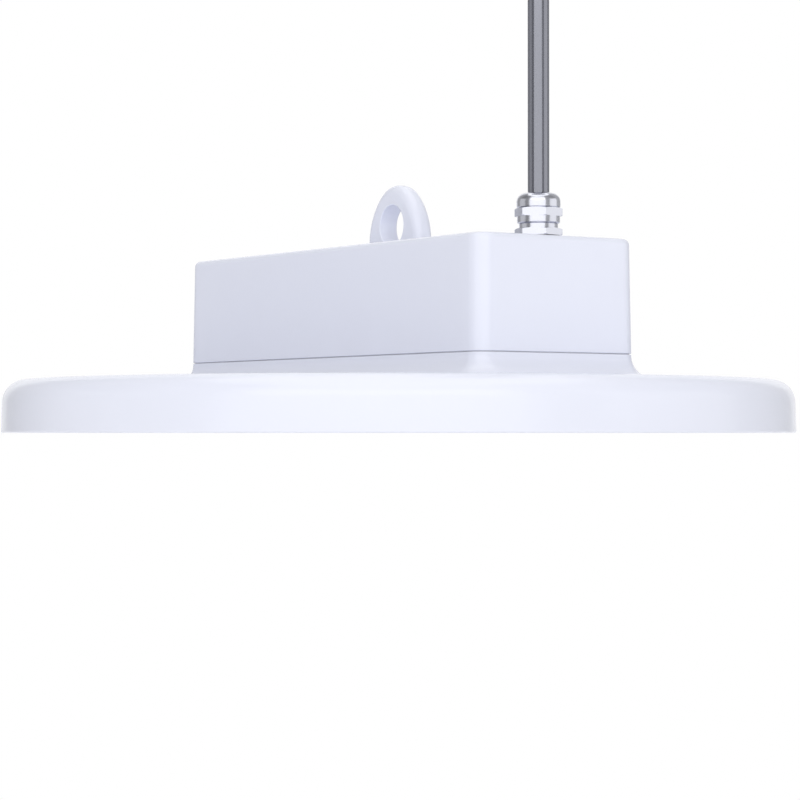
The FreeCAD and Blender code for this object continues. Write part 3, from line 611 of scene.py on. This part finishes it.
def square_rows(rows, x, y):
    """Skin whose rows, of (half side, height, roundness), go from a square to a circle as roundness goes from 0
    to 1, turned over so that it faces down."""
    turn = np.radians(np.arange(0.0, 360.0, 15.0) + 7.5)
    square = 1 / np.maximum(np.abs(np.cos(turn)), np.abs(np.sin(turn)))
    half, height, roundness = np.array(rows).T[:, :, None]
    reach = half * (square + (1 - square) * roundness)
    return skin(np.stack([x + reach * np.cos(turn), y - reach * np.sin(turn), height + 0 * turn], -1))


from_foot = np.array([0.0, led_foot, 0.0])
body = from_foot + [(1.9, 0.2, 1.0), (1.9, 0.0, 1.0), (2.4, 0.0, 0.0), (2.5, 0.1, 0.0), (2.5, 0.7, 0.0)]
window = from_foot + [(1.2, 0.05, 1.0), (1.85, 0.08, 1.0), (1.85, 0.25, 1.0)]
bodies = [square_rows(body, x, y) for x, y in led_places()]
fitted("led_bodies", bodies, ceramic, ["led_packages"])
fitted("led_windows", [square_rows(window, x, y) for x, y in led_places()], phosphor)

# ---- Driver, terminals and wiring --------------------------------------------------------------
# What the box holds and is sealed with: a potted driver in an anodised case, the terminal block, the
# cable's cores, the leads down to the board, and silicone gaskets. Each keeps its solid's own shape.


def dressed(finish, *names):
    """Gives these nodes their finish."""
    for name in names:
        for place in nodes[name].material_slots:
            place.material = finish


silicone = finish_of("grey_silicone", (0.64, 0.64, 0.68), (0.70, 0.70, 0.74), (0.5, 0.62), 1500.0, 0.00002)
nylon = finish_of("black_nylon", (0.02, 0.02, 0.022), (0.032, 0.032, 0.034), (0.4, 0.5), 2200.0, 0.00002)
block_plastic = finish_of("block_plastic", (0.66, 0.64, 0.58), (0.72, 0.70, 0.64), (0.4, 0.5), 1800.0, 0.00002)
brushed = {"grain": 1600.0, "relief": 0.00001, "place_scale": (0.05, 1, 1), "Metallic": 1.0}
driver_case = finish_of("driver_case", (0.30, 0.30, 0.31), (0.36, 0.36, 0.37), (0.32, 0.42), **brushed)
tinned = finish_of(
    "tinned_copper", (0.62, 0.60, 0.56), (0.70, 0.68, 0.64), (0.28, 0.4), 2600.0, 0.00001, Metallic=1.0
)
wire = {"grain": 1600.0, "relief": 0.000008, "place_scale": (0.2, 1, 1), "roughness": (0.34, 0.44)}
core_brown = finish_of("core_brown", (0.10, 0.035, 0.015), (0.13, 0.045, 0.02), **wire)
core_blue = finish_of("core_blue", (0.02, 0.09, 0.36), (0.03, 0.11, 0.42), **wire)
lead_red = finish_of("lead_red", (0.42, 0.015, 0.012), (0.50, 0.02, 0.016), **wire)
lead_black = finish_of("lead_black", (0.018, 0.018, 0.018), (0.03, 0.03, 0.03), **wire)
core_earth = finish_of("core_green_yellow", (0.02, 0.24, 0.04), (0.78, 0.62, 0.02), **wire)
earth_tree = core_earth.node_tree
stripe = earth_tree.nodes.new("ShaderNodeTexWave")
stripe.inputs["Scale"].default_value = 190.0
earth_tree.links.new(earth_tree.nodes["Texture Coordinate"].outputs["Object"], stripe.inputs["Vector"])
earth_tree.links.new(stripe.outputs["Fac"], earth_tree.nodes["tones"].inputs["Factor"])

dressed(silicone, "cover_gasket", "wire_grommet", "thermal_pad", "lens_gasket")
dressed(rubber, "gland_seal")
dressed(nylon, "gland_clamping_cage")
dressed(nickel, "gland_lock_nut")
dressed(stainless, "hanging_eye_screws", "terminal_block_screws", "earth_screw", "driver_screws", "board_screws")
dressed(mask, "led_board")
dressed(block_plastic, "terminal_block")
dressed(driver_case, "led_driver")
dressed(tinned, "earth_tag")
dressed(core_brown, "mains_core_live", "input_lead_live")
dressed(core_blue, "mains_core_neutral", "input_lead_neutral")
dressed(core_earth, "mains_core_earth", "earth_lead")
dressed(lead_red, "output_lead_positive")
dressed(lead_black, "output_lead_negative")

# ---- Studio ------------------------------------------------------------------------------------
# The light hangs over a pale floor in a white room. A softbox with a brighter one above it stands
# behind the camera, another hangs overhead, and dimmer cards between them give the metal its bands.

toward_camera = np.array([0.8276, -0.5614])
to_the_right = np.array([0.5614, 0.8276])


def emitting(name, strength):
    """A plain white glowing surface."""
    finish = bpy.data.materials.new(name)
    finish.use_nodes = True
    tree = finish.node_tree
    tree.nodes.remove(tree.nodes["Principled BSDF"])
    glow = tree.nodes.new("ShaderNodeEmission")
    glow.inputs["Color"].default_value = (1.0, 1.0, 1.0, 1.0)
    glow.inputs["Strength"].default_value = strength
    tree.links.new(glow.outputs["Emission"], tree.nodes["Material Output"].inputs["Surface"])
    return finish


def sheet(name, points, faces, finish, seen=False):
    """A thin sheet of the studio, which the camera doesn't see unless it is the floor."""
    mesh = bpy.data.meshes.new(name)
    mesh.from_pydata(np.asarray(points).tolist(), [], faces)
    mesh.materials.append(finish)
    placed = bpy.data.objects.new(name, mesh)
    bpy.context.scene.collection.objects.link(placed)
    placed.visible_camera = seen


def standing_card(name, first_deg, last_deg, low, high, strength):
    """Upright glowing card, bent round the light in flat panes at card_distance, from one height to another
    and between two bearings counted from the camera's towards the right."""
    panes = 8
    turns = np.radians(np.linspace(first_deg, last_deg, panes + 1))[:, None]
    along = card_distance * (np.cos(turns) * toward_camera + np.sin(turns) * to_the_right)
    points = [(x, y, height) for height in (low, high) for x, y in along]
    faces = [(n, n + 1, n + panes + 2, n + panes + 1) for n in range(panes)]
    sheet(name, points, faces, emitting(name, strength))


def square(half, height):
    """Corners of a level square over the middle."""
    return [(-half, -half, height), (half, -half, height), (half, half, height), (-half, half, height)]


card_distance = 2.35
card_foot, card_head, wall_head = -0.3, 1.1, 4.0
standing_card("front_softbox", -50.0, 36.0, -0.6, 0.6, 1.35)
standing_card("front_high_softbox", -42.0, 30.0, 0.6, 1.7, 2.1)
standing_card("gap_left", -75.0, -50.0, card_foot, wall_head, 0.3)
standing_card("gap_right", 36.0, 58.0, card_foot, wall_head, 0.42)
standing_card("side_left", -115.0, -75.0, card_foot, card_head, 0.68)
standing_card("side_right", 58.0, 105.0, card_foot, card_head, 1.12)
standing_card("valance_left", -115.0, -75.0, card_head, wall_head, 0.25)
standing_card("valance_right", 58.0, 105.0, card_head, wall_head, 0.35)
standing_card("far_left", -150.0, -115.0, card_foot, wall_head, 0.4)
standing_card("far_right", 105.0, 150.0, card_foot, wall_head, 0.5)
sheet("overhead_softbox", square(2.6, wall_head), [(0, 1, 2, 3)], emitting("overhead_glow", 1.55))

world = bpy.data.worlds.new("studio")
world.use_nodes = True
bpy.context.scene.world = world
ambient = world.node_tree.nodes["Background"]
ambient.inputs["Color"].default_value = (1.0, 1.0, 1.0, 1)
ambient.inputs["Strength"].default_value = 1.0

# The floor's paint fades into the white of the room towards its edge, for the camera alone.
floor_paint = finish_of("floor_paint", (0.90, 0.90, 0.91), (0.92, 0.92, 0.93), (0.6, 0.7), 8.0, 0.0005, mottle=2.0)
floor_tree = floor_paint.node_tree
floor_glow = floor_tree.nodes.new("ShaderNodeEmission")
floor_path = floor_tree.nodes.new("ShaderNodeLightPath")
floor_place = floor_tree.nodes.new("ShaderNodeTexCoord")
floor_reach = floor_tree.nodes.new("ShaderNodeVectorMath")
floor_reach.operation = "LENGTH"
floor_edge = floor_tree.nodes.new("ShaderNodeMapRange")
floor_edge.inputs["From Min"].default_value = 1.2
floor_edge.inputs["From Max"].default_value = 2.8
floor_edge.inputs["To Min"].default_value = 0.55
floor_share = floor_tree.nodes.new("ShaderNodeMath")
floor_share.operation = "MULTIPLY"
floor_choice = floor_tree.nodes.new("ShaderNodeMixShader")
for source, target in (
    (floor_place.outputs["Object"], floor_reach.inputs[0]),
    (floor_reach.outputs["Value"], floor_edge.inputs["Value"]),
    (floor_edge.outputs["Result"], floor_share.inputs[0]),
    (floor_path.outputs["Is Camera Ray"], floor_share.inputs[1]),
    (floor_share.outputs["Value"], floor_choice.inputs["Fac"]),
    (floor_tree.nodes["Principled BSDF"].outputs["BSDF"], floor_choice.inputs[1]),
    (floor_glow.outputs["Emission"], floor_choice.inputs[2]),
    (floor_choice.outputs["Shader"], floor_tree.nodes["Material Output"].inputs["Surface"]),
):
    floor_tree.links.new(source, target)
sheet("floor", square(3.0, -2.2), [(0, 1, 2, 3)], floor_paint, seen=True)

bpy.context.scene.view_settings.view_transform = "Standard"
optics = bpy.data.cameras.new("camera")
optics.sensor_width = 36.0
optics.lens = 117.8
camera = bpy.data.objects.new("camera", optics)
bpy.context.scene.collection.objects.link(camera)
camera.location = (0.9366, -0.6354, 0.0)
camera.rotation_euler = (math.radians(90.7225), 0.0, math.radians(55.8187))
bpy.context.scene.camera = camera
